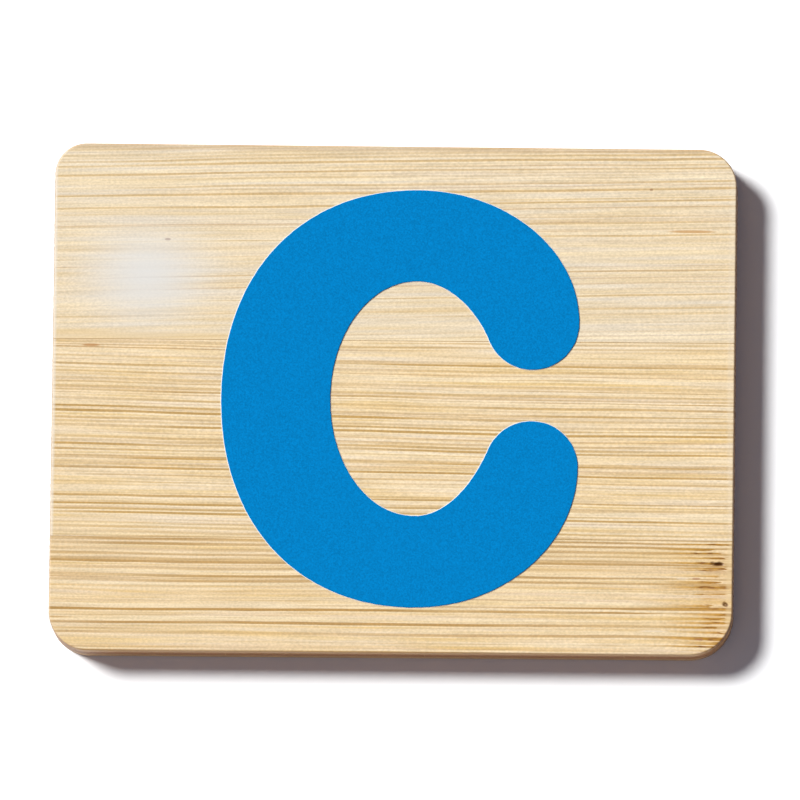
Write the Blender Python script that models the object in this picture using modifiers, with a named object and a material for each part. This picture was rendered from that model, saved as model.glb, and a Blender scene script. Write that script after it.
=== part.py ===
"""A bamboo letter tile: a thin three-ply board of flat bamboo strips with one letter printed on its face.

The tile lies flat. +X is the reading direction, +Y is the letter's upward direction, and +Z points out of the
printed face. The origin is the middle of the back face.
"""

import math

import bpy
from mathutils import Matrix, Vector

MM = 0.001

# Outline of the tile: its corners are sanded by hand, so no two have quite the same radius
TILE_WIDTH = 60.0 * MM
TILE_HEIGHT = 45.0 * MM
UPPER_LEFT_RADIUS = 2.8 * MM
UPPER_RIGHT_RADIUS = 3.3 * MM
LOWER_LEFT_RADIUS = 3.5 * MM
LOWER_RIGHT_RADIUS = 3.8 * MM
ARRIS_RADIUS = 0.2 * MM
CORNER_SEGMENTS = 10
ARRIS_SEGMENTS = 3
ARRIS_ANGLE = math.radians(60.0)

# Plies, from the back to the printed face, with a film of glue between neighbouring pieces
BACK_PLY = 1.2 * MM
CORE_PLY = 1.5 * MM
FACE_PLY = 1.2 * MM
GLUE_LINE = 0.05 * MM

# Strips: the bamboo is milled to one width, and each ply is laid from its own starting seam
STRIP_WIDTH = 17.5 * MM
FACE_STRIP_RISE = -3.65 * MM
BACK_STRIP_RISE = 3.4 * MM
CORE_SEAM_SHIFT = 3.0 * MM
SAWING_ALLOWANCE = 2.0 * MM
SANDING_ALLOWANCE = 0.3 * MM

# Printed letter: the round bowl, its strokes, and the two round ends either side of the mouth
LETTER_WIDTH = 31.4 * MM
LETTER_HEIGHT = 37.0 * MM
LETTER_SHIFT = 0.6 * MM
APEX_INSET = 17.1 * MM
STEM_WIDTH = 9.6 * MM
ARCH_WIDTH = 8.1 * MM
END_RADIUS = 4.1 * MM
END_WRAP = math.radians(67.0)
MOUTH_GAP = 4.55 * MM
MOUTH_RISE = 0.35 * MM
INK_THICKNESS = 0.1 * MM
LETTER_STEPS = 8

# Bezier handle lengths, as shares of the quarter arc's radius or of the chord that they span
ROUND = 0.5523
BOWL_FULLNESS = 0.6
COUNTER_EASE = 0.31
JOIN_EASE = 0.41

CORE_BASE = BACK_PLY + GLUE_LINE
FACE_BASE = CORE_BASE + CORE_PLY + GLUE_LINE
TILE_THICKNESS = FACE_BASE + FACE_PLY

# Colours as sRGB hex: bamboo by strip, and the ink
PALE_BAMBOO = "EBD8B8"
WARM_BAMBOO = "E9CFA7"
GOLDEN_BAMBOO = "E6CAA0"
CORE_BAMBOO = "DDBF90"
LETTER_BLUE = "0483C9"
BAMBOO_ROUGHNESS = 0.5
INK_ROUGHNESS = 0.6


def clear_scene():
    """Remove every object of the scene that the script starts in."""
    for obj in list(bpy.data.objects):
        bpy.data.objects.remove(obj, do_unlink=True)


def new_collection(name):
    """Add a collection to the scene."""
    collection = bpy.data.collections.new(name)
    bpy.context.scene.collection.children.link(collection)
    return collection


def linear_colour(hex_colour):
    """Turn an sRGB hex colour into linear red, green, blue and alpha."""
    channels = [int(hex_colour[i:i + 2], 16) / 255 for i in (0, 2, 4)]
    return [c / 12.92 if c <= 0.04045 else ((c + 0.055) / 1.055) ** 2.4 for c in channels] + [1.0]


def give_material(obj, hex_colour, roughness):
    """Give an object its own Principled material, named after it."""
    material = bpy.data.materials.new(obj.name + "_material")
    material.use_nodes = True
    shader = material.node_tree.nodes["Principled BSDF"]
    shader.inputs["Base Color"].default_value = linear_colour(hex_colour)
    shader.inputs["Roughness"].default_value = roughness
    shader.inputs["Metallic"].default_value = 0.0
    obj.data.materials.append(material)


def add_box(name, low, high, collection):
    """Add a box between two corners, with its size in the mesh and its place in the object."""
    low, high = Vector(low), Vector(high)
    bpy.ops.mesh.primitive_cube_add(size=1.0, location=(low + high) / 2)
    box = bpy.context.object
    box.name = name
    box.data.name = name
    box.data.transform(Matrix.Diagonal((*(high - low), 1.0)))
    for owner in list(box.users_collection):
        owner.objects.unlink(box)
    collection.objects.link(box)
    return box


def add_outline_cutter(collection):
    """Add the tile's outer form, which every strip is cut to: round corners, then eased arrises."""
    low = (-TILE_WIDTH / 2, -TILE_HEIGHT / 2, 0.0)
    high = (TILE_WIDTH / 2, TILE_HEIGHT / 2, TILE_THICKNESS)
    cutter = add_box("tile_outline", low, high, collection)
    left_radii = {True: UPPER_LEFT_RADIUS, False: LOWER_LEFT_RADIUS}
    right_radii = {True: UPPER_RIGHT_RADIUS, False: LOWER_RIGHT_RADIUS}
    largest = max(*left_radii.values(), *right_radii.values())
    weights = cutter.data.attributes.new("bevel_weight_edge", "FLOAT", "EDGE")
    for edge in cutter.data.edges:
        start, end = (cutter.data.vertices[i].co for i in edge.vertices)
        radius = (right_radii if start.x > 0 else left_radii)[start.y > 0]
        upright = abs(start.z - end.z) > TILE_THICKNESS / 2
        weights.data[edge.index].value = radius / largest if upright else 0.0

    corners = cutter.modifiers.new("round_corners", "BEVEL")
    corners.limit_method = "WEIGHT"
    corners.width = largest
    corners.segments = CORNER_SEGMENTS

    arrises = cutter.modifiers.new("ease_arrises", "BEVEL")
    arrises.limit_method = "ANGLE"
    arrises.angle_limit = ARRIS_ANGLE
    arrises.width = ARRIS_RADIUS
    arrises.segments = ARRIS_SEGMENTS

    cutter.hide_render = True
    cutter.display_type = "WIRE"
    return cutter


def add_strip(name, low, high, hex_colour, cutter, collection):
    """Add a bamboo strip between two corners and cut it to the tile's outline."""
    strip = add_box(name, low, high, collection)
    cut = strip.modifiers.new("cut_to_outline", "BOOLEAN")
    cut.operation = "INTERSECT"
    cut.solver = "EXACT"
    cut.object = cutter
    give_material(strip, hex_colour, BAMBOO_ROUGHNESS)


def add_lengthwise_ply(ply, rise, base, top, colours, cutter, collection):
    """Add a ply of three strips that run along X: one of full width, and what is left above and below it."""
    end_x = TILE_WIDTH / 2 + SAWING_ALLOWANCE
    end_y = TILE_HEIGHT / 2 + SAWING_ALLOWANCE
    lower_seam = rise - STRIP_WIDTH / 2
    upper_seam = rise + STRIP_WIDTH / 2
    half_glue = GLUE_LINE / 2
    spans = {
        "upper": (upper_seam + half_glue, end_y),
        "middle": (lower_seam + half_glue, upper_seam - half_glue),
        "lower": (-end_y, lower_seam - half_glue),
    }
    for place, (low_y, high_y) in spans.items():
        low, high = (-end_x, low_y, base), (end_x, high_y, top)
        add_strip(f"{ply}_strip_{place}", low, high, colours[place], cutter, collection)


def add_core_ply(cutter, collection):
    """Add the core: four strips that run along Y, the two middle ones of full width."""
    end_x = TILE_WIDTH / 2 + SAWING_ALLOWANCE
    end_y = TILE_HEIGHT / 2 + SAWING_ALLOWANCE
    half_glue = GLUE_LINE / 2
    left_seam = CORE_SEAM_SHIFT - STRIP_WIDTH
    right_seam = CORE_SEAM_SHIFT + STRIP_WIDTH
    spans = {
        "left": (-end_x, left_seam - half_glue),
        "centre_left": (left_seam + half_glue, CORE_SEAM_SHIFT - half_glue),
        "centre_right": (CORE_SEAM_SHIFT + half_glue, right_seam - half_glue),
        "right": (right_seam + half_glue, end_x),
    }
    for place, (low_x, high_x) in spans.items():
        low, high = (low_x, -end_y, CORE_BASE), (high_x, end_y, CORE_BASE + CORE_PLY)
        add_strip(f"core_strip_{place}", low, high, CORE_BAMBOO, cutter, collection)


def letter_knots():
    """List the letter's outline clockwise from its left edge.

    Each knot is a point, a heading, and the lengths of the handles before and after it. The outline's own
    origin is below the bowl's apex, at half the letter's height.
    """
    left = -APEX_INSET
    right = LETTER_WIDTH - APEX_INSET
    half_height = LETTER_HEIGHT / 2
    counter_left = left + STEM_WIDTH
    counter_height = half_height - ARCH_WIDTH
    end_x = right - END_RADIUS
    upper_y = MOUTH_RISE + MOUTH_GAP / 2 + END_RADIUS
    lower_y = MOUTH_RISE - MOUTH_GAP / 2 - END_RADIUS
    quarter = ROUND * END_RADIUS
    wrap = 4 / 3 * math.tan(END_WRAP / 4) * END_RADIUS
    across, along = math.sin(END_WRAP), math.cos(END_WRAP)
    upper_join = Vector((end_x - END_RADIUS * across, upper_y - END_RADIUS * along))
    lower_join = Vector((end_x - END_RADIUS * across, lower_y + END_RADIUS * along))
    counter_top = Vector((0.0, counter_height))
    counter_bottom = Vector((0.0, -counter_height))
    upper_chord = (upper_join - counter_top).length
    lower_chord = (lower_join - counter_bottom).length
    return [
        ((left, 0), (0, 1), BOWL_FULLNESS * half_height, BOWL_FULLNESS * half_height),
        ((0, half_height), (1, 0), BOWL_FULLNESS * -left, ROUND * right),
        ((right, upper_y), (0, -1), ROUND * (half_height - upper_y), quarter),
        ((end_x, upper_y - END_RADIUS), (-1, 0), quarter, wrap),
        (upper_join, (-along, across), wrap, JOIN_EASE * upper_chord),
        (counter_top, (-1, 0), COUNTER_EASE * upper_chord, ROUND * -counter_left),
        ((counter_left, 0), (0, -1), ROUND * counter_height, ROUND * counter_height),
        (counter_bottom, (1, 0), ROUND * -counter_left, COUNTER_EASE * lower_chord),
        (lower_join, (along, across), JOIN_EASE * lower_chord, wrap),
        ((end_x, lower_y + END_RADIUS), (1, 0), wrap, quarter),
        ((right, lower_y), (0, -1), quarter, ROUND * (half_height + lower_y)),
        ((0, -half_height), (-1, 0), ROUND * right, BOWL_FULLNESS * -left),
    ]


def add_letter(collection):
    """Add the printed letter: a flat outline lying on the face, as thick as its film of ink."""
    outline = bpy.data.curves.new("letter_print", "CURVE")
    outline.dimensions = "2D"
    outline.fill_mode = "BOTH"
    outline.extrude = INK_THICKNESS / 2
    outline.resolution_u = LETTER_STEPS
    spline = outline.splines.new("BEZIER")
    spline.use_cyclic_u = True
    knots = letter_knots()
    spline.bezier_points.add(len(knots) - 1)
    for knot, (point, heading, before, after) in zip(spline.bezier_points, knots):
        knot.handle_left_type = "FREE"
        knot.handle_right_type = "FREE"
        place, heading = Vector((*point, 0.0)), Vector((*heading, 0.0))
        knot.co = place
        knot.handle_left = place - heading * before
        knot.handle_right = place + heading * after

    letter = bpy.data.objects.new("letter_print", outline)
    left_edge = LETTER_SHIFT - LETTER_WIDTH / 2
    letter.location = (left_edge + APEX_INSET, 0.0, TILE_THICKNESS + INK_THICKNESS / 2)
    collection.objects.link(letter)
    give_material(letter, LETTER_BLUE, INK_ROUGHNESS)


def main():
    """Build the tile: back ply, core, face ply, then the print."""
    clear_scene()
    tile = new_collection("letter_tile")
    cutters = new_collection("cutters")
    outline = add_outline_cutter(cutters)
    back_colours = {"upper": GOLDEN_BAMBOO, "middle": WARM_BAMBOO, "lower": PALE_BAMBOO}
    face_colours = {"upper": PALE_BAMBOO, "middle": WARM_BAMBOO, "lower": GOLDEN_BAMBOO}
    add_lengthwise_ply("back", BACK_STRIP_RISE, -SANDING_ALLOWANCE, BACK_PLY, back_colours, outline, tile)
    add_core_ply(outline, tile)
    face_top = TILE_THICKNESS + SANDING_ALLOWANCE
    add_lengthwise_ply("face", FACE_STRIP_RISE, FACE_BASE, face_top, face_colours, outline, tile)
    add_letter(tile)


main()
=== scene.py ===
"""Dress the bamboo letter tile and set it on a pale studio floor.

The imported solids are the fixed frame. Each strip is carved again from one finely rounded blank, where its
solid is, and gets its own bamboo. Glue lines and the print follow, then the floor, light and camera.
Geometry is in metres, and the sizes of patterns inside materials are in millimetres.
"""

import logging
import math
from collections.abc import Iterable, Sequence
from dataclasses import dataclass, replace
from enum import Enum

import bmesh
import bpy
from mathutils import Euler, Matrix, Vector, noise


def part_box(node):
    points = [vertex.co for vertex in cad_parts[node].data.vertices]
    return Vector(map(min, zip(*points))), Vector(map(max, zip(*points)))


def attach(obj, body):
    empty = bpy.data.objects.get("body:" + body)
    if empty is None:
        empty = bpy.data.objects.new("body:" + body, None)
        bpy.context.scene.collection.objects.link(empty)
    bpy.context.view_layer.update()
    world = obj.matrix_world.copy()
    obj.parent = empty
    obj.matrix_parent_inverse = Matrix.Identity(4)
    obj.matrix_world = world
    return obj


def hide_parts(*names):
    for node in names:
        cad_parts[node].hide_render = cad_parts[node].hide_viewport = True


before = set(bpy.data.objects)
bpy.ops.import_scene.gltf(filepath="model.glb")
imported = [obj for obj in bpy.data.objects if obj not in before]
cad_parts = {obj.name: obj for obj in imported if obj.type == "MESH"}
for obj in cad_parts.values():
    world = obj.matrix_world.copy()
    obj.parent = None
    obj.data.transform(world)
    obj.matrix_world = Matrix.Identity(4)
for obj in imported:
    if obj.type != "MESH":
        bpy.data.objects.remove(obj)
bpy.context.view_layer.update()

MM = 0.001
TOUCH = 1e-6
SAME = TOUCH / 10
BODY = "root"
COLOUR_PARTS = ("Red", "Green", "Blue")
APART = 37.0  # steps in noise between two fibre bundles, so that each fades by itself
SEED_STEPS = (1.0, 0.37, 1.7)  # millimetres that a step of a strip's seed moves its pattern by
NOISE_LOW, NOISE_HIGH = 0.3, 0.7  # a range that noise seldom leaves
SOFT = {"interpolation_type": "SMOOTHSTEP"}  # how a mask's edge rises
FLAT_WITHIN = math.radians(0.05)
CRISP_FROM = math.radians(40.0)
log = logging.getLogger("letter_tile")

Socket = bpy.types.NodeSocket
Tree = bpy.types.NodeTree
Material = bpy.types.Material
BMesh = bmesh.types.BMesh
Inputs = dict[int | str, object]
Knot = tuple[Sequence[float], Sequence[float], float, float]


def linear(hex_colour: str) -> tuple[float, float, float, float]:
    """Turn an sRGB hex colour into a linear one.

    Args:
        hex_colour: Six hex digits, red first.

    Returns:
        Linear red, green and blue, with full alpha.
    """
    shares = [int(hex_colour[i:i + 2], 16) / 255 for i in (0, 2, 4)]
    red, green, blue = [s / 12.92 if s <= 0.04045 else ((s + 0.055) / 1.055) ** 2.4 for s in shares]
    return red, green, blue, 1.0


def pick(sockets: Sequence[Socket], key: int | str) -> Socket:
    """Find a socket by its place, identifier or name.

    Args:
        sockets: A node's inputs or outputs.
        key: The place, identifier or name to look for.

    Returns:
        The first socket that answers to the key.
    """
    if isinstance(key, int):
        return sockets[key]
    return next(socket for socket in sockets if key in (socket.identifier, socket.name))


def connect(node: bpy.types.Node, inputs: Inputs) -> None:
    """Link or set a node's inputs.

    Args:
        node: The node to feed.
        inputs: A socket to link, or a value to set, for each input.
    """
    for key, value in inputs.items():
        target = pick(node.inputs, key)
        if isinstance(value, Socket):
            node.id_data.links.new(value, target)
        else:
            target.default_value = value


def add(tree: Tree, kind: str, inputs: Inputs, out: int | str = 0, **settings: object) -> Socket:
    """Add one node with its settings and links.

    Args:
        tree: The tree of a material or of the world.
        kind: The node's type without its ShaderNode prefix.
        inputs: A socket or a value for each input that differs from the default.
        out: The output to hand on.
        settings: The node's own properties.

    Returns:
        The chosen output.
    """
    node = tree.nodes.new("ShaderNode" + kind)
    for name, value in settings.items():
        setattr(node, name, value)
    connect(node, inputs)
    return pick(node.outputs, out)


def new_material(name: str, shader_values: Inputs) -> tuple[Material, bpy.types.Node]:
    """Start a material.

    Args:
        name: The real material's name.
        shader_values: What is the same all over the surface, by socket.

    Returns:
        The material and its Principled shader.
    """
    material = bpy.data.materials.new(name)
    material.use_nodes = True
    shader = material.node_tree.nodes["Principled BSDF"]
    connect(shader, shader_values)
    return material, shader


def new_piece(
    name: str, shape: BMesh, material: Material, nodes: Iterable[str] = ()
) -> bpy.types.Object:
    """Make a finished shape a piece of the tile.

    Args:
        name: The piece's name.
        shape: Its mesh, in place, which is used up.
        material: Its finish.
        nodes: The CAD nodes that it stands for.

    Returns:
        The new object, riding on the tile.
    """
    mesh = bpy.data.meshes.new(name)
    shape.to_mesh(mesh)
    shape.free()
    mesh.materials.append(material)
    piece = bpy.data.objects.new(name, mesh)
    bpy.context.scene.collection.objects.link(piece)
    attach(piece, BODY)
    if nodes:
        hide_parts(*nodes)
    log.info("%s: %d faces", name, len(mesh.polygons))
    return piece


class Grain(Enum):
    """Which way a strip's fibres run on the tile."""

    LENGTHWISE = 0
    CROSSWISE = 1

    @property
    def upright(self) -> Matrix:
        """The turn that stands the fibres along Z and lays the strip's width along X."""
        if self is Grain.LENGTHWISE:
            return Matrix(((0, 1, 0), (0, 0, 1), (1, 0, 0)))
        return Matrix(((1, 0, 0), (0, 0, -1), (0, 1, 0)))


@dataclass(frozen=True)
class Stain:
    """A stained fibre, soiled edge or painted highlight along an end: its middle, half length and half
    width in millimetres.
    """

    x: float
    y: float
    reach: float
    width: float
    strength: float
    colour: str = "7D4F2C"
    core: float = 0.5


@dataclass(frozen=True)
class PaintedGlare:
    """A painted glare: a soft pale patch painted over the colour as a highlight; its middle and its reach,
    in millimetres.
    """

    x: float
    y: float
    reach_x: float
    reach_y: float
    strength: float
    veil: str = "C5C4C1"


@dataclass(frozen=True)
class Figure:
    """Noise drawn out along the fibres: its size across and along them in millimetres, and its octaves."""

    across: float
    along: float
    detail: float = 1.0


@dataclass(frozen=True)
class Rods:
    """One size of fibre bundle, with its pitch and the length over which it fades in millimetres.

    The radius is in pitches, and the solid core is a share of it. Bumps, whose width and length are in
    pitches, move its edge by a share of the radius in all. The sheath lies between two more shares of it.
    """

    colour: str
    strength: float
    pitch: float
    radius: float
    core: float
    weakest: float
    faintest: float
    fade_length: float
    scatter: float = 0.75
    bump_width: float = 0.4
    bump_length: float = 12.0
    bump_share: float = 0.5
    sheath_near: float = 1.05
    sheath_far: float = 1.7
    fade_from: float = 0.4
    fade_to: float = 0.52


@dataclass(frozen=True)
class Knuckle:
    """The ring of a bamboo joint across a strip's right end, by its places along X in millimetres.

    The fibre bundles swell there into rows. Golden tails lead to brown tips with dark hearts, and the tips
    fray out short of the strip's end. Widths across a row are in shares of the pitch.
    """

    start: float
    full: float
    stop: float
    pitch: float = 0.42
    scatter: float = 0.7
    width: float = 0.58
    soft_edge: float = 0.22
    thinning: float = 0.26
    ragged: Figure = Figure(0.15, 0.8)
    ragged_share: float = 0.3
    wander: float = 2.8
    tip_lead: float = 0.4
    tip_run: float = 0.8
    fringe: float = 2.3
    frayed: Figure = Figure(0.1, 0.7)
    fray_reach: float = 2.4
    end_before: float = 0.2
    end_after: float = 0.3
    dashes: Figure = Figure(0.1, 0.8)
    dash_from: float = 0.48
    dash_to: float = 0.62
    tail: str = "AD7E1C"
    tail_strength: float = 0.76
    tip: str = "986B0D"
    tip_strength: float = 0.85
    heart: str = "6A3B02"
    heart_strength: float = 0.85


@dataclass(frozen=True)
class Drift:
    """How fibres wander: the size of a bend across and along them, and its reach sideways and in depth."""

    across: float
    along: float
    sideways: float
    deep: float


@dataclass(frozen=True)
class RodMasks:
    """Where a size of fibre bundle shows: the bundle itself, and the pale sheath beside it."""

    bundle: Socket
    sheath: Socket


@dataclass(frozen=True)
class Bamboo:
    """Flat-pressed bamboo, planed, sanded and sealed with a thin satin lacquer.

    Brown fibre bundles run as rods through pale tissue. A face along the rods shows them as long fine
    lines, and a cut end shows them as dots. The lacquer leaves a quiet sheen over an all but flat surface.
    """

    name: str
    ground: str
    warm: str
    bundles: Rods
    threads: Rods
    grain: Grain = Grain.LENGTHWISE
    lean: float = 0.0
    dip: float = 0.08
    seed: float = 0.0
    drifts: tuple[Drift, ...] = (Drift(9.0, 45.0, 0.9, 0.25), Drift(1.2, 9.0, 0.12, 0.06))
    band: Figure = Figure(3.0, 60.0)
    band_share: float = 0.05
    streak: Figure = Figure(0.45, 16.0, 2.0)
    tone_from: float = 0.36
    tone_to: float = 0.69
    hair: Figure = Figure(0.2, 6.0)
    hair_contrast: float = 0.18
    speck: Figure = Figure(0.15, 0.25)
    speck_contrast: float = 0.24
    sheath: str = "DAC8A5"
    sheath_strength: float = 0.8
    groove: float = 0.6
    relief: float = 0.012
    relief_strength: float = 0.35
    smoothest: float = 0.45
    roughest: float = 0.58
    shine: float = 0.35
    flank: str = "A77236"
    flank_strength: float = 0.65
    end: str = "8A6A48"
    arris_highlight: str = "CCBFA7"
    # a highlight painted on the arris of the cut ends towards the left end, where the key light falls
    arris_highlight_strength: float = 0.9
    arris_highlight_full_at: float = -25.0
    pit_rim: str = "7C5118"
    pit_rim_power: float = 0.5
    pit_floor: str = "402309"
    knuckle: Knuckle | None = None
    painted_glare: PaintedGlare | None = None
    stains: tuple[Stain, ...] = ()

    def make(self) -> Material:
        """Build the material.

        Returns:
            A material that reads Object coordinates and the strip's attributes arris, side, cut_end, pit.
        """
        lacquer = {"IOR": 1.5, "Coat Weight": 0.08, "Coat Roughness": 0.4}
        material, shader = new_material(self.name, lacquer)
        tree = material.node_tree
        tile = add(tree, "TexCoord", {}, "Object")
        tile = add(tree, "VectorMath", {0: tile, "Scale": 1 / MM}, operation="SCALE")
        place = self._along_the_fibres(tree, tile)
        hair = self._drawn_out(tree, place, self.hair)
        bundles = self._rods(tree, place, self.bundles)
        colour = self._tissue(tree, place, bundles)
        if self.knuckle:
            colour = self._stain_knuckle(tree, tile, place, colour, self.knuckle)
        colour = self._shade(tree, colour, hair, self.hair_contrast)
        speck = self._drawn_out(tree, place, self.speck)
        colour = self._shade(tree, colour, speck, self.speck_contrast)
        for stain in self.stains:
            mask = self._spot(tree, tile, (stain.x, stain.y), (stain.reach, stain.width), stain.core)
            colour = self._blend(tree, mask, colour, linear(stain.colour), stain.strength)
        # painted highlight: a soft pale glare laid into the colour
        if self.painted_glare:
            patch = self.painted_glare
            mask = self._spot(tree, tile, (patch.x, patch.y), (patch.reach_x, patch.reach_y), 0.0)
            colour = self._blend(tree, mask, colour, linear(patch.veil), patch.strength)
        pit = add(tree, "Attribute", {}, "Fac", attribute_name="pit")
        colour = self._weather(tree, tile, colour, pit)

        relief = {0: bundles.bundle, 1: -self.groove, 2: hair}
        relief = add(tree, "Math", relief, operation="MULTIPLY_ADD")
        bump = {"Height": relief, "Strength": self.relief_strength, "Distance": self.relief * MM}
        normal = add(tree, "Bump", bump)
        rough = {"Value": hair, "From Min": NOISE_LOW, "From Max": NOISE_HIGH}
        rough = add(tree, "MapRange", {**rough, "To Min": self.smoothest, "To Max": self.roughest})
        shine = add(tree, "MapRange", {"Value": pit, "To Min": self.shine, "To Max": 0.0})
        surface = {"Base Color": colour, "Roughness": rough, "Specular IOR Level": shine, "Normal": normal}
        connect(shader, surface)
        return material

    def _along_the_fibres(self, tree: Tree, tile: Socket) -> Socket:
        """Turn tile coordinates so that Z runs along the fibres, and let the fibres wander a little.

        Args:
            tree: The material's tree.
            tile: Coordinates on the tile, in millimetres.

        Returns:
            Coordinates in the strip's own bamboo, in millimetres.
        """
        tilt = Euler((math.radians(self.dip), math.radians(-self.lean), 0.0)).to_matrix()
        turn = (tilt @ self.grain.upright).to_euler()
        start = [self.seed * step for step in SEED_STEPS]
        place = add(tree, "Mapping", {"Vector": tile, "Location": start, "Rotation": turn})
        for drift in self.drifts:
            bend = self._drawn_out(tree, place, Figure(drift.across, drift.along), "Color")
            shift = {0: bend, 1: (drift.sideways, drift.deep, 0.0), 2: place}
            place = add(tree, "VectorMath", shift, operation="MULTIPLY_ADD")
        return place

    def _drawn_out(self, tree: Tree, place: Socket, figure: Figure, out: int | str = 0) -> Socket:
        """Add noise drawn out along the fibres.

        Args:
            tree: The material's tree.
            place: Coordinates in the strip's own bamboo.
            figure: The noise's size.
            out: The noise's output to hand on.

        Returns:
            The noise, about 0.5.
        """
        shares = (1 / figure.across, 1 / figure.across, 1 / figure.along)
        spread = add(tree, "VectorMath", {0: place, 1: shares}, operation="MULTIPLY")
        return add(tree, "TexNoise", {"Vector": spread, "Scale": 1.0, "Detail": figure.detail}, out)

    def _tissue(self, tree: Tree, place: Socket, bundles: RodMasks) -> Socket:
        """Colour the pale tissue, the threads in it, and the bundles with their sheaths.

        Args:
            tree: The material's tree.
            place: Coordinates in the strip's own bamboo.
            bundles: Where the bundles show.

        Returns:
            The colour of sound bamboo.
        """
        band = self._drawn_out(tree, place, self.band)
        streak = self._drawn_out(tree, place, self.streak)
        tone = add(tree, "Math", {0: band, 1: self.band_share, 2: streak}, operation="MULTIPLY_ADD")
        tone = {"Value": tone, "From Min": self.tone_from, "From Max": self.tone_to}
        tone = add(tree, "MapRange", tone)
        threads = self._rods(tree, place, self.threads)
        colour = self._blend(tree, tone, linear(self.ground), linear(self.warm))
        layers = (
            (bundles.sheath, self.sheath, self.sheath_strength),
            (threads.bundle, self.threads.colour, self.threads.strength),
            (bundles.bundle, self.bundles.colour, self.bundles.strength),
        )
        for mask, over, strength in layers:
            colour = self._blend(tree, mask, colour, linear(over), strength)
        return colour

    def _rods(self, tree: Tree, place: Socket, rods: Rods) -> RodMasks:
        """Add fibre bundles along Z, each of its own strength, that fade in and out along their length.

        Args:
            tree: The material's tree.
            place: Coordinates in the strip's own bamboo.
            rods: The bundles' size and strength.

        Returns:
            Masks of the bundles and of their sheaths, from 0 to 1.
        """
        cells = {"Vector": place, "Scale": 1 / rods.pitch, "Randomness": rods.scatter}
        distance = add(tree, "TexVoronoi", cells, "Distance", voronoi_dimensions="2D")
        draw = distance.node.outputs["Color"]
        bumps = Figure(rods.pitch * rods.bump_width, rods.pitch * rods.bump_length)
        bumps = {0: self._drawn_out(tree, place, bumps), 1: rods.radius * rods.bump_share, 2: distance}
        distance = add(tree, "Math", bumps, operation="MULTIPLY_ADD")
        edge = rods.radius * (1 + rods.bump_share / 2)
        shares = (0.0, 0.0, 1 / rods.fade_length)
        along = add(tree, "VectorMath", {0: place, 1: shares}, operation="MULTIPLY")
        own = add(tree, "VectorMath", {0: draw, 1: (APART,) * 3, 2: along}, operation="MULTIPLY_ADD")
        fade = add(tree, "TexNoise", {"Vector": own, "Scale": 1.0, "Detail": 2.0})
        fading = {"From Min": rods.fade_from, "From Max": rods.fade_to, "To Min": rods.faintest}
        fade = add(tree, "MapRange", {"Value": fade, **fading})
        chance = add(tree, "SeparateColor", {"Color": draw}, "Red")
        weight = add(tree, "MapRange", {"Value": chance, "To Min": rods.weakest})
        weight = add(tree, "Math", {0: weight, 1: fade}, operation="MULTIPLY")
        masks = []
        for outer, inner in ((1.0, rods.core), (rods.sheath_far, rods.sheath_near)):
            rim = {"Value": distance, "From Min": edge * outer, "From Max": edge * inner}
            mask = add(tree, "MapRange", rim, **SOFT)
            masks.append(add(tree, "Math", {0: mask, 1: weight}, operation="MULTIPLY"))
        return RodMasks(*masks)

    def _blend(self, tree: Tree, mask: Socket, base: object, over: object, strength: float = 1.0) -> Socket:
        """Lay one colour over another.

        Args:
            tree: The material's tree.
            mask: Where the upper colour shows.
            base: The lower colour.
            over: The upper colour.
            strength: How much of the upper colour shows where the mask is full.

        Returns:
            The blended colour.
        """
        amount = add(tree, "Math", {0: mask, 1: strength}, operation="MULTIPLY", use_clamp=True)
        layers = {"Factor_Float": amount, "A_Color": base, "B_Color": over}
        return add(tree, "Mix", layers, "Result_Color", data_type="RGBA")

    def _shade(self, tree: Tree, colour: Socket, value: Socket, contrast: float) -> Socket:
        """Lighten and darken a colour with noise about 0.5.

        Args:
            tree: The material's tree.
            colour: The colour to vary.
            value: The noise.
            contrast: How much the brightness changes over half of the noise's range.

        Returns:
            The varied colour.
        """
        gain = add(tree, "Math", {0: value, 1: 2 * contrast, 2: 1 - contrast}, operation="MULTIPLY_ADD")
        return add(tree, "VectorMath", {0: colour, "Scale": gain}, operation="SCALE")

    def _spot(
        self, tree: Tree, tile: Socket, centre: Sequence[float], reach: Sequence[float], core: float
    ) -> Socket:
        """Mark an oval on the tile's face.

        Args:
            tree: The material's tree.
            tile: Coordinates on the tile, in millimetres.
            centre: The oval's middle.
            reach: Its half length and half width.
            core: The share of its reach where it is at full strength.

        Returns:
            A mask from 0 outside to 1 in the middle.
        """
        away = add(tree, "VectorMath", {0: tile, 1: (*centre, 0.0)}, operation="SUBTRACT")
        shares = (1 / reach[0], 1 / reach[1], 0.0)
        away = add(tree, "VectorMath", {0: away, 1: shares}, operation="MULTIPLY")
        distance = add(tree, "VectorMath", {0: away}, "Value", operation="LENGTH")
        return add(tree, "MapRange", {"Value": distance, "From Min": 1.0, "From Max": core}, **SOFT)

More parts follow.
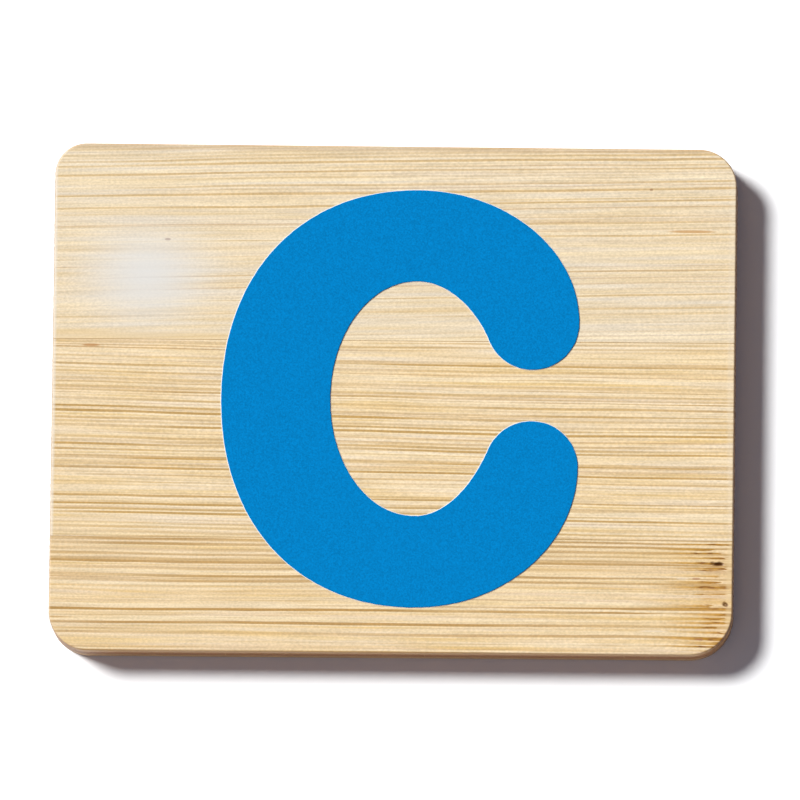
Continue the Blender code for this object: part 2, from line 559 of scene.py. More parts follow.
    def _stain_knuckle(
        self, tree: Tree, tile: Socket, place: Socket, colour: Socket, knuckle: Knuckle
    ) -> Socket:
        """Swell and darken the fibre bundles where the strip crosses a joint of the bamboo.

        Args:
            tree: The material's tree.
            tile: Coordinates on the tile, in millimetres.
            place: Coordinates in the strip's own bamboo.
            colour: The colour so far.
            knuckle: The joint's place and stains.

        Returns:
            The stained colour.
        """
        across = add(tree, "SeparateXYZ", {0: place}, "X")
        rows = {"W": across, "Scale": 1 / knuckle.pitch, "Randomness": knuckle.scatter}
        distance = add(tree, "TexVoronoi", rows, "Distance", voronoi_dimensions="1D")
        draw = distance.node.outputs["Color"]
        thin, late, early = [add(tree, "SeparateColor", {"Color": draw}, part) for part in COLOUR_PARTS]
        ragged = self._drawn_out(tree, place, knuckle.ragged)
        for uneven, share in ((ragged, knuckle.ragged_share), (thin, knuckle.thinning)):
            distance = add(tree, "Math", {0: uneven, 1: share, 2: distance}, operation="MULTIPLY_ADD")
        along = add(tree, "SeparateXYZ", {0: tile}, "X")
        begin = add(tree, "Math", {0: late, 1: knuckle.wander, 2: along}, operation="MULTIPLY_ADD")
        start = knuckle.start + knuckle.wander / 2
        full = knuckle.full + knuckle.wander / 2
        end = add(tree, "Math", {0: early, 1: knuckle.fringe, 2: along}, operation="MULTIPLY_ADD")
        frayed = self._drawn_out(tree, place, knuckle.frayed)
        end = add(tree, "Math", {0: frayed, 1: knuckle.fray_reach, 2: end}, operation="MULTIPLY_ADD")
        stop = knuckle.stop + (knuckle.fringe + knuckle.fray_reach) / 2
        spans = (
            (distance, knuckle.width, knuckle.width - knuckle.soft_edge),
            (end, stop + knuckle.end_after, stop - knuckle.end_before),
            (begin, start, full),
            (begin, full - knuckle.tip_lead, full + knuckle.tip_run),
        )
        masks = []
        for value, none, whole in spans:
            span = {"Value": value, "From Min": none, "From Max": whole}
            masks.append(add(tree, "MapRange", span, **SOFT))
        swollen, inside, tail, tip = masks
        row = add(tree, "Math", {0: swollen, 1: inside}, operation="MULTIPLY")
        golden = add(tree, "Math", {0: row, 1: tail}, operation="MULTIPLY")
        brown = add(tree, "Math", {0: row, 1: tip}, operation="MULTIPLY")
        dashes = self._drawn_out(tree, place, knuckle.dashes)
        dashes = {"Value": dashes, "From Min": knuckle.dash_from, "From Max": knuckle.dash_to}
        dark = add(tree, "Math", {0: brown, 1: add(tree, "MapRange", dashes)}, operation="MULTIPLY")
        colour = self._blend(tree, golden, colour, linear(knuckle.tail), knuckle.tail_strength)
        colour = self._blend(tree, brown, colour, linear(knuckle.tip), knuckle.tip_strength)
        return self._blend(tree, dark, colour, linear(knuckle.heart), knuckle.heart_strength)

    def _weather(self, tree: Tree, tile: Socket, colour: Socket, pit: Socket) -> Socket:
        """Tan the sides, deepen the cut ends, paint a highlight on the arris of the cut ends towards the
        left end, and darken the pits.

        Args:
            tree: The material's tree.
            tile: Coordinates on the tile, in millimetres.
            colour: The colour so far.
            pit: How deep in a pit a point lies.

        Returns:
            The colour with the wear that the strip's attributes mark.
        """
        side, end, arris = [
            add(tree, "Attribute", {}, "Fac", attribute_name=name) for name in ("side", "cut_end", "arris")
        ]
        colour = self._blend(tree, side, colour, linear(self.flank), self.flank_strength)
        deep = add(tree, "VectorMath", {0: colour, 1: linear(self.end)[:3]}, operation="MULTIPLY")
        colour = self._blend(tree, end, colour, deep)
        # painted highlight: pale the arris of the cut ends towards the left end
        left = add(tree, "SeparateXYZ", {0: tile}, "X")
        left = add(tree, "MapRange", {"Value": left, "From Min": 0.0, "From Max": self.arris_highlight_full_at})
        arris_highlight = add(tree, "Math", {0: end, 1: arris}, operation="MULTIPLY")
        arris_highlight = add(tree, "Math", {0: arris_highlight, 1: left}, operation="MULTIPLY")
        colour = self._blend(tree, arris_highlight, colour, linear(self.arris_highlight), self.arris_highlight_strength)
        rim = add(tree, "Math", {0: pit, 1: self.pit_rim_power}, operation="POWER")
        colour = self._blend(tree, rim, colour, linear(self.pit_rim))
        return self._blend(tree, pit, colour, linear(self.pit_floor))


@dataclass(frozen=True)
class WoodGlue:
    """Cured wood glue in a thin line: amber, a little darker than the bamboo, with a dull gloss."""

    name: str = "wood_glue"
    colour: str = "AD8851"
    thin: str = "BFA06D"
    mottle: float = 1.5

    def make(self) -> Material:
        """Build the material, mottled where the film is thinner."""
        material, shader = new_material(self.name, {"IOR": 1.47, "Roughness": 0.5})
        tree = material.node_tree
        tile = add(tree, "TexCoord", {}, "Object")
        mottle = add(tree, "TexNoise", {"Vector": tile, "Scale": 1 / (self.mottle * MM), "Detail": 2.0})
        glue = {"Factor_Float": mottle, "A_Color": linear(self.colour), "B_Color": linear(self.thin)}
        connect(shader, {"Base Color": add(tree, "Mix", glue, "Result_Color", data_type="RGBA")})
        return material


@dataclass(frozen=True)
class PrintInk:
    """Cured printing ink: one flat opaque colour, matte, with the fine grit of its pigment."""

    name: str
    colour: str
    deep: str
    grit: float = 0.13
    peel: float = 0.01
    peel_strength: float = 0.25

    def make(self) -> Material:
        """Build the material, with a fine mottle and a faint orange peel."""
        material, shader = new_material(self.name, {"Roughness": 0.7, "Specular IOR Level": 0.02})
        tree = material.node_tree
        tile = add(tree, "TexCoord", {}, "Object")
        grit = add(tree, "TexNoise", {"Vector": tile, "Scale": 1 / (self.grit * MM), "Detail": 2.0})
        mottle = add(tree, "MapRange", {"Value": grit, "From Min": NOISE_LOW, "From Max": NOISE_HIGH})
        ink = {"Factor_Float": mottle, "A_Color": linear(self.deep), "B_Color": linear(self.colour)}
        colour = add(tree, "Mix", ink, "Result_Color", data_type="RGBA")
        bump = {"Height": grit, "Strength": self.peel_strength, "Distance": self.peel * MM}
        connect(shader, {"Base Color": colour, "Normal": add(tree, "Bump", bump)})
        return material


@dataclass(frozen=True)
class StudioPaper:
    """White background paper: matte and all but even."""

    name: str = "white_paper"
    colour: str = "FBFBFB"
    shade: str = "F9F9F9"
    mottle: float = 40.0

    def make(self) -> Material:
        """Build the material, with a mottle too faint to draw the eye."""
        material, shader = new_material(self.name, {"Roughness": 0.9, "Specular IOR Level": 0.1})
        tree = material.node_tree
        floor = add(tree, "TexCoord", {}, "Object")
        mottle = add(tree, "TexNoise", {"Vector": floor, "Scale": 1 / (self.mottle * MM)})
        paper = {"Factor_Float": mottle, "A_Color": linear(self.shade), "B_Color": linear(self.colour)}
        connect(shader, {"Base Color": add(tree, "Mix", paper, "Result_Color", data_type="RGBA")})
        return material


@dataclass
class TileBlank:
    """The whole tile's outer form, which strips and glue lines are carved from."""

    low: Vector
    high: Vector
    upper_left_radius: float = 2.8 * MM
    upper_right_radius: float = 3.3 * MM
    lower_left_radius: float = 3.5 * MM
    lower_right_radius: float = 3.8 * MM
    upper_right_drop: float = 0.2 * MM
    arris: float = 0.15 * MM
    corner_segments: int = 24
    arris_segments: int = 6
    rim_angle: float = math.radians(60.0)

    def solid(self) -> BMesh:
        """Make the blank: a box with round corners and eased arrises.

        Returns:
            A closed shape with the attribute arris on its points.
        """
        shape = bmesh.new()
        size = self.high - self.low
        place = Matrix.Translation((self.low + self.high) / 2) @ Matrix.Diagonal((*size, 1.0))
        bmesh.ops.create_cube(shape, size=1.0, matrix=place)
        for vert in shape.verts:
            if vert.co.x > self.high.x - TOUCH and vert.co.y > self.high.y - TOUCH:
                vert.co.y -= self.upper_right_drop
        uprights = [e for e in shape.edges if abs(e.verts[0].co.z - e.verts[1].co.z) > size.z / 2]
        for upright in uprights:
            radius = self._corner_radius(upright.verts[0].co)
            bmesh.ops.bevel(
                shape, geom=[upright], offset=radius, offset_type="OFFSET", segments=self.corner_segments,
                profile=0.5, affect="EDGES", material=-1,
            )
        rims = [e for e in shape.edges if e.calc_face_angle(0.0) > self.rim_angle]
        bmesh.ops.bevel(
            shape, geom=rims, offset=self.arris, offset_type="OFFSET", segments=self.arris_segments,
            profile=0.5, affect="EDGES", material=-1,
        )
        shape.normal_update()
        arris = shape.verts.layers.float.new("arris")
        for vert in shape.verts:
            flat = math.hypot(vert.normal.x, vert.normal.y)
            vert[arris] = (1 - max(flat, abs(vert.normal.z))) / (1 - math.sqrt(0.5))
        return shape

    def _corner_radius(self, corner: Vector) -> float:
        """The radius of the corner that a point of the plain box is nearest to."""
        middle = (self.low + self.high) / 2
        if corner.y > middle.y:
            return self.upper_right_radius if corner.x > middle.x else self.upper_left_radius
        return self.lower_right_radius if corner.x > middle.x else self.lower_left_radius

    def shrunk(self, amount: float) -> "TileBlank":
        """The same blank, smaller by an amount on every side."""
        step = Vector((amount, amount, amount))
        return replace(
            self, low=self.low + step, high=self.high - step,
            upper_left_radius=self.upper_left_radius - amount,
            upper_right_radius=self.upper_right_radius - amount,
            lower_left_radius=self.lower_left_radius - amount,
            lower_right_radius=self.lower_right_radius - amount,
        )

    def carve(self, shape: BMesh, low: Vector, high: Vector) -> None:
        """Cut a shape down to the part of the blank between two corners.

        Args:
            shape: A blank, which is changed.
            low: The lowest corner to keep.
            high: The highest corner to keep.
        """
        for axis in range(3):
            for bound, side in ((low[axis], -1.0), (high[axis], 1.0)):
                if not self.low[axis] + TOUCH < bound < self.high[axis] - TOUCH:
                    continue
                outward = Vector([side if i == axis else 0.0 for i in range(3)])
                cut = bmesh.ops.bisect_plane(
                    shape, geom=[*shape.verts, *shape.edges, *shape.faces], dist=SAME,
                    plane_co=outward * side * bound, plane_no=outward, clear_outer=True,
                )
                rim = [item for item in cut["geom_cut"] if isinstance(item, bmesh.types.BMEdge)]
                bmesh.ops.edgeloop_fill(shape, edges=rim)
        bmesh.ops.recalc_face_normals(shape, faces=shape.faces)


def beyond(value: float, start: float) -> float:
    """How far a value from 0 to 1 lies beyond a start, as a share of what is left."""
    return max(0.0, value - start) / (1 - start)


def slice_across(shape: BMesh, axis: int, places: Iterable[float]) -> None:
    """Score a shape with cuts square to an axis, so that it can be bent between them.

    Args:
        shape: The shape to score.
        axis: 0, 1 or 2 for X, Y or Z.
        places: Where along the axis each cut goes.
    """
    square = Vector([1.0 if i == axis else 0.0 for i in range(3)])
    for place in places:
        bmesh.ops.bisect_plane(
            shape, geom=[*shape.verts, *shape.edges, *shape.faces], dist=SAME,
            plane_co=square * place, plane_no=square,
        )


def smooth_curved_faces(shape: BMesh) -> None:
    """Shade curved faces smooth, leave the planed ones flat and keep the corners between them crisp."""
    shape.normal_update()
    for face in shape.faces:
        face.smooth = max(abs(part) for part in face.normal) < math.cos(FLAT_WITHIN)
    for edge in shape.edges:
        edge.smooth = edge.calc_face_angle(0.0) < CRISP_FROM


@dataclass(frozen=True)
class Pit:
    """A small uneven pit at a bamboo joint: its middle, half length and half width, and its depth.

    A worn pit has a pale middle.
    """

    x: float
    y: float
    reach: float
    width: float
    depth: float
    worn: float = 0.0
    steps: int = 10
    margin: float = 1.2
    uneven: float = 0.5
    uneven_pitch: float = 0.3 * MM
    darkening: float = 1.4


@dataclass
class Strip:
    """One bamboo strip of the board."""

    node: str
    slot: str
    finish: Bamboo
    fray: float = 0.035 * MM
    fibre_pitch: float = 0.3 * MM
    row: float = 0.15 * MM
    turned_from: float = 0.2
    pits: tuple[Pit, ...] = ()

    def build(self, blank: TileBlank) -> BMesh:
        """Carve the strip where its solid is, and let its cut ends fray.

        Args:
            blank: The tile's outer form.

        Returns:
            The strip's shape.
        """
        low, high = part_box(self.node)
        along = self.finish.grain.value
        across = 1 - along
        shape = blank.solid()
        side = shape.verts.layers.float.new("side")
        cut_end = shape.verts.layers.float.new("cut_end")
        for vert in shape.verts:
            vert[side] = beyond(math.hypot(vert.normal.x, vert.normal.y), self.turned_from)
            vert[cut_end] = beyond(abs(vert.normal[along]), self.turned_from)
        shape.verts.layers.float.new("pit")
        blank.carve(shape, low, high)
        count = round((high[across] - low[across]) / self.row)
        step = (high[across] - low[across]) / count
        slice_across(shape, across, [low[across] + step * i for i in range(1, count)])
        self._fray_ends(shape, along)
        for pit in self.pits:
            self._sink_pit(shape, pit)
        smooth_curved_faces(shape)
        return shape

    def _fray_ends(self, shape: BMesh, along: int) -> None:
        """Let hard fibres stand a little proud of the soft tissue between them at the cut ends.

        Args:
            shape: The strip, scored across its width.
            along: The axis that the fibres run along.
        """
        cut_end = shape.verts.layers.float["cut_end"]
        for vert in shape.verts:
            spot = vert.co / self.fibre_pitch
            spot[along] = math.copysign(1.0, vert.co[along])
            proud = noise.noise(spot) * self.fray * vert[cut_end]
            vert.co[along] += math.copysign(proud, vert.co[along] * proud)

    def _sink_pit(self, shape: BMesh, pit: Pit) -> None:
        """Press a small oval pit into the face.

        Args:
            shape: The strip to press.
            pit: The pit's place and size.
        """
        mark = shape.verts.layers.float["pit"]
        for axis, middle, reach in ((0, pit.x, pit.reach), (1, pit.y, pit.width)):
            step = reach * pit.margin / pit.steps
            slice_across(shape, axis, [middle + step * i for i in range(-pit.steps, pit.steps + 1)])
        top = max(vert.co.z for vert in shape.verts)
        for vert in shape.verts:
            away = math.hypot((vert.co.x - pit.x) / pit.reach, (vert.co.y - pit.y) / pit.width)
            away *= 1 + pit.uneven * noise.noise(vert.co / pit.uneven_pitch)
            if away < 1 and vert.co.z > top - TOUCH:
                share = (1 - away * away) ** 2
                vert.co.z -= pit.depth * share
                vert[mark] = min(1.0, pit.darkening * share) * (1 - pit.worn * (1 - away) ** 2)

    def dress(self, shape: BMesh) -> bpy.types.Object:
        """Give the carved strip its bamboo and let it stand for its solid."""
        return new_piece(self.node + "_bamboo", shape, self.finish.make(), [self.node])


@dataclass
class BambooBoard:
    """The three plies of strips that the tile is cut from."""

    blank: TileBlank
    strips: tuple[Strip, ...]

    def build(self) -> list[bpy.types.Object]:
        """Carve and dress every strip."""
        return [strip.dress(strip.build(self.blank)) for strip in self.strips]


@dataclass
class GlueLines:
    """The films of glue that fill the gaps between the strips."""

    blank: TileBlank
    plies: tuple[tuple[str, ...], ...]
    finish: WoodGlue
    slot: str
    shrink: float = 0.03 * MM

    def build(self) -> list[bpy.types.Object]:
        """Carve the films between plies and between the strips of each ply.

        Returns:
            One piece for each ply's seams and one for each film between plies.
        """
        inner = self.blank.shrunk(self.shrink)
        material = self.finish.make()
        pieces = []
        for ply in self.plies:
            boxes = [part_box(node) for node in ply]
            ply_name = ply[0].split("_")[0]
            for number, (before, after) in enumerate(zip(boxes, boxes[1:]), start=1):
                pieces.append(self._film(inner, f"{ply_name}_seam_glue_{number}", before, after, material))
        for below, above in zip(self.plies, self.plies[1:]):
            name = f"{below[0].split('_')[0]}_{above[0].split('_')[0]}_glue"
            pieces.append(self._film(inner, name, self._span(below), self._span(above), material))
        return pieces

    def _span(self, ply: tuple[str, ...]) -> tuple[Vector, Vector]:
        """The lowest and highest corners of a whole ply."""
        boxes = [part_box(node) for node in ply]
        low = Vector([min(box[0][i] for box in boxes) for i in range(3)])
        high = Vector([max(box[1][i] for box in boxes) for i in range(3)])
        return low, high

    def _film(
        self, inner: TileBlank, name: str, before: tuple[Vector, Vector], after: tuple[Vector, Vector],
        material: Material,
    ) -> bpy.types.Object:
        """Carve the film that fills the gap between two boxes.

        Args:
            inner: A blank a hair smaller than the tile.
            name: The film's name.
            before: The box on the low side of the gap.
            after: The box on the high side.
            material: The glue.

        Returns:
            The film.
        """
        gaps = [after[0][i] - before[1][i] for i in range(3)]
        axis = max(range(3), key=lambda i: gaps[i])
        low, high = before[0].copy(), before[1].copy()
        low[axis], high[axis] = before[1][axis], after[0][axis]
        shape = inner.solid()
        inner.carve(shape, low, high)
        smooth_curved_faces(shape)
        return new_piece(name, shape, material)


@dataclass
class PrintedLetter:
    """The printed letter: a round bowl with two round ends, and a hair of base coat showing round it."""

    ink: PrintInk
    base_coat: PrintInk
    slot: str
    apex_inset: float = 17.1 * MM
    stem: float = 9.6 * MM
    arch: float = 8.1 * MM
    end_radius: float = 4.1 * MM
    end_wrap: float = math.radians(67.0)
    mouth_gap: float = 4.55 * MM
    mouth_rise: float = 0.35 * MM
    base_spread: float = 0.05 * MM
    base_thickness: float = 0.03 * MM
    rim_radius: float = 0.05 * MM
    rim_share: float = 0.8
    rim_segments: int = 3
    roughness: float = 0.02 * MM
    rough_pitch: float = 0.35 * MM
    steps: int = 110

    def build(self) -> list[bpy.types.Object]:
        """Print the base coat and then the colour.

        Returns:
            The two films of ink.
        """
        low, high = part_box("letter_print")
        coat = self._film(low, high, self.base_spread, low.z + self.base_thickness)
        ink = self._film(low, high, 0.0, high.z)
        return [
            new_piece("letter_base_coat", coat, self.base_coat.make()),
            new_piece("letter_ink", ink, self.ink.make(), ["letter_print"]),
        ]

    def _knots(self, width: float, height: float) -> list[Knot]:
        """List the outline's knots clockwise from the bowl's left edge, about the point below its apex.

        Args:
            width: The letter's width.
            height: Its height.

        Returns:
            Each knot's point, heading, and handle lengths before and after it.
        """
        quarter, fullness, counter_ease, join_ease = 0.5523, 0.6, 0.31, 0.41
        left, right, top = -self.apex_inset, width - self.apex_inset, height / 2
        radius, inner_left, inner_top = self.end_radius, self.stem - self.apex_inset, height / 2 - self.arch
        end_x = right - radius
        upper = self.mouth_rise + self.mouth_gap / 2 + radius
        lower = self.mouth_rise - self.mouth_gap / 2 - radius
        wrap = 4 / 3 * math.tan(self.end_wrap / 4) * radius
        across, along = math.sin(self.end_wrap), math.cos(self.end_wrap)
        upper_join = Vector((end_x - radius * across, upper - radius * along))
        lower_join = Vector((end_x - radius * across, lower + radius * along))
        upper_chord = (upper_join - Vector((0.0, inner_top))).length
        lower_chord = (lower_join - Vector((0.0, -inner_top))).length
        return [
            ((left, 0), (0, 1), fullness * top, fullness * top),
            ((0, top), (1, 0), fullness * -left, quarter * right),
            ((right, upper), (0, -1), quarter * (top - upper), quarter * radius),
            ((end_x, upper - radius), (-1, 0), quarter * radius, wrap),
            (upper_join, (-along, across), wrap, join_ease * upper_chord),
            ((0, inner_top), (-1, 0), counter_ease * upper_chord, quarter * -inner_left),
            ((inner_left, 0), (0, -1), quarter * inner_top, quarter * inner_top),
            ((0, -inner_top), (1, 0), quarter * -inner_left, counter_ease * lower_chord),
            (lower_join, (along, across), join_ease * lower_chord, wrap),
            ((end_x, lower + radius), (1, 0), wrap, quarter * radius),
            ((right, lower), (0, -1), quarter * radius, quarter * (top + lower)),
            ((0, -top), (-1, 0), quarter * right, fullness * -left),
        ]

    def _outline(self, low: Vector, high: Vector) -> BMesh:
        """Draw the letter's outline as a closed loop of edges on the tile's face.

        Args:
            low: The lowest corner of the print's solid.
            high: Its highest corner.

        Returns:
            The loop.
        """
        curve = bpy.data.curves.new("letter_outline", "CURVE")
        curve.dimensions = "2D"
        curve.fill_mode = "NONE"
        curve.resolution_u = self.steps
        spline = curve.splines.new("BEZIER")
        spline.use_cyclic_u = True
        knots = self._knots(high.x - low.x, high.y - low.y)
        spline.bezier_points.add(len(knots) - 1)
        for knot, (point, heading, before, after) in zip(spline.bezier_points, knots):
            knot.handle_left_type = knot.handle_right_type = "FREE"
            place, way = Vector((*point, 0.0)), Vector((*heading, 0.0))
            knot.co = place
            knot.handle_left = place - way * before
            knot.handle_right = place + way * after
        drawn = bpy.data.objects.new("letter_outline", curve)
        shape = bmesh.new()
        mesh = drawn.to_mesh()
        shape.from_mesh(mesh)
        drawn.to_mesh_clear()
        bpy.data.objects.remove(drawn)
        bpy.data.curves.remove(curve)
        bmesh.ops.remove_doubles(shape, verts=shape.verts, dist=TOUCH)
        middle = (low + high) / 2
        bmesh.ops.translate(shape, verts=shape.verts, vec=(low.x + self.apex_inset, middle.y, low.z))
        return shape

    def _film(self, low: Vector, high: Vector, spread: float, top: float) -> BMesh:
        """Fill the outline and raise it into a film with a soft, slightly rough rim.

        Args:
            low: The lowest corner of the print's solid.
            high: Its highest corner.
            spread: How far the film reaches past the outline.
            top: The height of its upper face.

        Returns:
            The film.
        """
        shape = self._outline(low, high)
        filled = bmesh.ops.edgeloop_fill(shape, edges=shape.edges)["faces"]
        if filled[0].normal.z < 0:
            bmesh.ops.reverse_faces(shape, faces=filled)
        shape.normal_update()
        loops = list(filled[0].loops)
        chords = [loop.link_loop_next.vert.co - loop.link_loop_prev.vert.co for loop in loops]
        for loop, chord in zip(loops, chords):
            outward = chord.cross(Vector((0.0, 0.0, 1.0))).normalized()
            rough = noise.noise(loop.vert.co / self.rough_pitch) * self.roughness
            loop.vert.co += outward * (spread + rough)
        raised = bmesh.ops.extrude_face_region(shape, geom=filled)["geom"]
        verts = [item for item in raised if isinstance(item, bmesh.types.BMVert)]
        bmesh.ops.translate(shape, verts=verts, vec=(0.0, 0.0, top - low.z))
        bmesh.ops.recalc_face_normals(shape, faces=shape.faces)
        rim = [e for e in shape.edges if all(v.co.z > top - TOUCH for v in e.verts)]
        radius = min(self.rim_radius, (top - low.z) * self.rim_share)
        bmesh.ops.bevel(
            shape, geom=rim, offset=radius, offset_type="OFFSET", segments=self.rim_segments, profile=0.5,
            affect="EDGES", material=-1, clamp_overlap=True,
        )
        smooth_curved_faces(shape)
        return shape


@dataclass
class Studio:
    """The pale floor, the light and the camera."""

    paper: StudioPaper
    floor_radius: float = 12.0
    floor_segments: int = 96
    photo_pixels: int = 800
    pixels_per_mm: float = 11.39
    aim: tuple[float, float] = (0.62 * MM, -0.13 * MM)
    camera_distance: float = 1.6
    camera_tilt: float = math.radians(8.0)
    camera_yaw: float = math.radians(2.2)
    camera_roll: float = math.radians(0.75)
    key_height: float = math.radians(45.7)
    key_turn: float = math.radians(148.8)
    key_angle: float = math.radians(19.5)
    key_strength: float = 5.6
    key_colour: tuple[float, float, float] = (0.99, 1.0, 1.0)
    fill_strength: float = 0.136
    fill_lean: float = 0.76
    fill_colour: tuple[float, float, float, float] = (0.98, 0.9, 1.07, 1.0)
    horizon_from: float = 0.22
    horizon_to: float = 0.04
    horizon_colour: tuple[float, float, float, float] = (1.0, 1.0, 1.0, 1.0)
    sensor_width: float = 36.0

    def build(self) -> None:
        """Set up the floor, the light and the camera."""
        self._floor()
        self._key()
        self._fill()
        self._camera()

    def _floor(self) -> None:
        """Lay the paper that the tile lies on."""
        shape = bmesh.new()
        segments = self.floor_segments
        bmesh.ops.create_circle(shape, cap_ends=True, radius=self.floor_radius, segments=segments)
        mesh = bpy.data.meshes.new("floor")
        shape.to_mesh(mesh)
        shape.free()
        mesh.materials.append(self.paper.make())
        floor = bpy.data.objects.new("floor", mesh)
        bpy.context.scene.collection.objects.link(floor)

    def _key(self) -> None:
        """Hang the key light high at the upper left."""
        light = bpy.data.lights.new("key_light", "SUN")
        light.energy = self.key_strength
        light.angle = self.key_angle
        light.color = self.key_colour
        key = bpy.data.objects.new("key_light", light)
        level = math.cos(self.key_height)
        flat = (level * math.cos(self.key_turn), level * math.sin(self.key_turn))
        towards = Vector((*flat, math.sin(self.key_height)))
        key.rotation_mode = "QUATERNION"
        key.rotation_quaternion = towards.to_track_quat("Z", "Y")
        bpy.context.scene.collection.objects.link(key)

    def _fill(self) -> None:
        """Wrap the set in soft light, stronger from the front, that turns white towards the horizon."""
        world = bpy.data.worlds.new("studio")
        world.use_nodes = True
        bpy.context.scene.world = world
        tree = world.node_tree
        ray = add(tree, "TexCoord", {}, "Generated")
        height = add(tree, "SeparateXYZ", {0: ray}, "Z")
        horizon = {"Value": height, "From Min": self.horizon_from, "From Max": self.horizon_to}
        horizon = add(tree, "MapRange", horizon, **SOFT)
        colours = {"Factor_Float": horizon, "A_Color": self.fill_colour, "B_Color": self.horizon_colour}
        colour = add(tree, "Mix", colours, "Result_Color", data_type="RGBA")
        front = add(tree, "SeparateXYZ", {0: ray}, "Y")
        most, least = 1 + self.fill_lean, 1 - self.fill_lean
        lean = add(tree, "MapRange", {"Value": front, "From Min": -1.0, "To Min": most, "To Max": least})
        fill = add(tree, "Math", {0: lean, 1: self.fill_strength}, operation="MULTIPLY")
        strength = add(tree, "MapRange", {"Value": horizon, "To Min": fill, "To Max": 1.0})
        connect(tree.nodes["Background"], {"Color": colour, "Strength": strength})

    def _camera(self) -> None:
        """Stand the camera almost straight above the tile, a little towards its lower right corner."""
        data = bpy.data.cameras.new("camera")
        data.sensor_width = self.sensor_width
        seen = self.photo_pixels / self.pixels_per_mm * MM
        data.lens = data.sensor_width * self.camera_distance / seen
        camera = bpy.data.objects.new("camera", data)
        face = Vector((*self.aim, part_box("face_strip_middle")[1].z))
        back = Vector((math.tan(self.camera_yaw), -math.tan(self.camera_tilt), 1.0)).normalized()
        camera.location = face + back * self.camera_distance
        across = Vector((0.0, 1.0, 0.0)).cross(back).normalized()
        turn = Matrix((across, back.cross(across), back)).transposed()
        camera.rotation_euler = (turn @ Matrix.Rotation(self.camera_roll, 3, "Z")).to_euler()
        bpy.context.scene.collection.objects.link(camera)
        bpy.context.scene.camera = camera
        bpy.context.scene.view_settings.view_transform = "Standard"


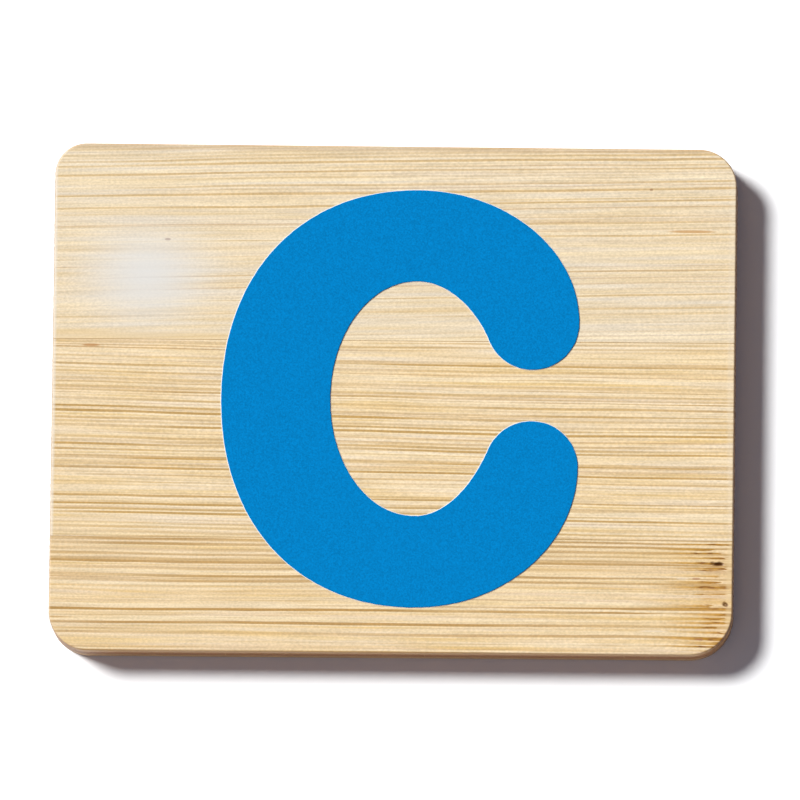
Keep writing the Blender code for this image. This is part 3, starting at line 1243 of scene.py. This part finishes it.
def board_strips() -> tuple[Strip, ...]:
    """List the board's strips, face first, each with the bamboo it was split from."""
    thread = Rods(
        "9F7547", 0.6, pitch=0.26, radius=0.3, core=0.4, weakest=0.1, faintest=0.45, fade_length=25.0
    )
    fine = Rods(
        "A17826", 0.6, pitch=0.38, radius=0.32, core=0.7, weakest=0.15, faintest=0.6, fade_length=30.0
    )
    dense = Rods(
        "A07726", 0.86, pitch=0.4, radius=0.37, core=0.6, weakest=0.45, faintest=0.5, fade_length=24.0
    )
    bold = replace(dense, colour="976C1A", strength=0.98, radius=0.42, scatter=0.85)
    pale = dict(ground="CCBFA9", warm="C9B48F", bundles=fine, threads=thread)
    warm = dict(ground="D0BFA5", warm="CAAD78", bundles=dense, threads=thread)
    golden = dict(ground="CCB696", warm="C5A56B", bundles=bold, threads=thread)
    core = dict(ground="C6B088", warm="BB9D6D", bundles=dense, threads=thread)
    core.update(grain=Grain.CROSSWISE, end="C8AA80")
    # painted highlights: pale strips along the right and left ends of the face
    end_highlights = (Stain(29.8, 5.0, 0.6, 25.0, 0.25, "D2C4AD"), Stain(-30.0, 0.0, 0.4, 40.0, 0.5, "D3CCC0"))
    # painted highlight: a soft pale glare at the upper left of the face
    upper_glare = PaintedGlare(-21.8, 10.8, 8.3, 6.7, 0.86)
    upper_stains = (
        Stain(-20.0, 14.0, 0.35, 0.14, 0.8),
        Stain(22.5, 18.7, 0.2, 0.14, 0.6),
        Stain(26.1, 15.0, 2.6, 0.17, 0.8, "B18449"),
        Stain(0.0, 22.25, 60.0, 0.42, 0.3, "96734B"),
        Stain(-25.0, 5.0, 24.0, 1.2, 0.5, "CAAD78"),
        *end_highlights,
    )
    middle_stains = (Stain(-26.6, 4.56, 1.0, 0.15, 0.8, "A67641"), *end_highlights)
    lower_stains = (
        Stain(29.9, -17.6, 0.65, 8.0, 0.45, "CDB78C"),
        Stain(28.9, -17.8, 2.2, 6.0, 0.14, "BE8638"),
        Stain(25.6, -15.75, 0.7, 0.11, 0.35, "D9CDBB"),
        Stain(26.8, -15.75, 0.5, 0.13, 0.7, "9A6947"),
        Stain(23.1, -20.4, 1.6, 0.11, 0.4, "D9CDBB"),
        Stain(27.1, -21.1, 0.5, 0.14, 0.55, "9A6947"),
    )
    knuckle = Knuckle(22.6, 27.2, 29.1)
    slot_pit = Pit(28.7 * MM, -14.43 * MM, 0.75 * MM, 0.24 * MM, 0.12 * MM)
    ring_pit = Pit(29.35 * MM, -18.03 * MM, 0.32 * MM, 0.24 * MM, 0.06 * MM, worn=0.95)
    return (
        Strip(
            "face_strip_upper", "pale_bamboo",
            Bamboo("bamboo_pale", **pale, lean=1.2, seed=11.0, painted_glare=upper_glare, stains=upper_stains),
        ),
        Strip(
            "face_strip_middle", "warm_bamboo",
            Bamboo("bamboo_warm", **warm, lean=-0.5, seed=53.0, stains=middle_stains),
        ),
        Strip(
            "face_strip_lower", "golden_bamboo",
            Bamboo("bamboo_knuckled", **golden, lean=-0.2, seed=97.0, knuckle=knuckle, stains=lower_stains),
            pits=(slot_pit, ring_pit),
        ),
        Strip("core_strip_left", "core_bamboo", Bamboo("bamboo_core_1", **core, seed=131.0)),
        Strip("core_strip_centre_left", "core_bamboo", Bamboo("bamboo_core_2", **core, seed=173.0)),
        Strip("core_strip_centre_right", "core_bamboo", Bamboo("bamboo_core_3", **core, seed=211.0)),
        Strip("core_strip_right", "core_bamboo", Bamboo("bamboo_core_4", **core, seed=257.0)),
        Strip(
            "back_strip_upper", "golden_bamboo",
            Bamboo("bamboo_back_1", **golden, lean=-0.8, seed=293.0),
        ),
        Strip("back_strip_middle", "warm_bamboo", Bamboo("bamboo_back_2", **warm, lean=0.7, seed=331.0)),
        Strip("back_strip_lower", "pale_bamboo", Bamboo("bamboo_back_3", **pale, lean=0.2, seed=379.0)),
    )


def main() -> None:
    """Build the board, its glue lines and its print, then the studio round them."""
    logging.basicConfig(level=logging.INFO, format="%(name)s: %(message)s")
    outer_low = Vector([min(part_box(node)[0][i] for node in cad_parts) for i in range(3)])
    outer_high = Vector([max(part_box(node)[1][i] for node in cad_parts) for i in range(3)])
    outer_high.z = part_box("face_strip_middle")[1].z
    blank = TileBlank(outer_low, outer_high)
    BambooBoard(blank, board_strips()).build()
    plies = (
        ("back_strip_lower", "back_strip_middle", "back_strip_upper"),
        ("core_strip_left", "core_strip_centre_left", "core_strip_centre_right", "core_strip_right"),
        ("face_strip_lower", "face_strip_middle", "face_strip_upper"),
    )
    GlueLines(blank, plies, WoodGlue(), "core_bamboo").build()
    blue = PrintInk("printing_ink_blue", "0078B8", "00669D")
    white = PrintInk("printing_ink_white", "D8D7D3", "D4D1CC")
    PrintedLetter(blue, white, "blue_ink").build()
    Studio(StudioPaper()).build()


if __name__ == "__main__":
    main()
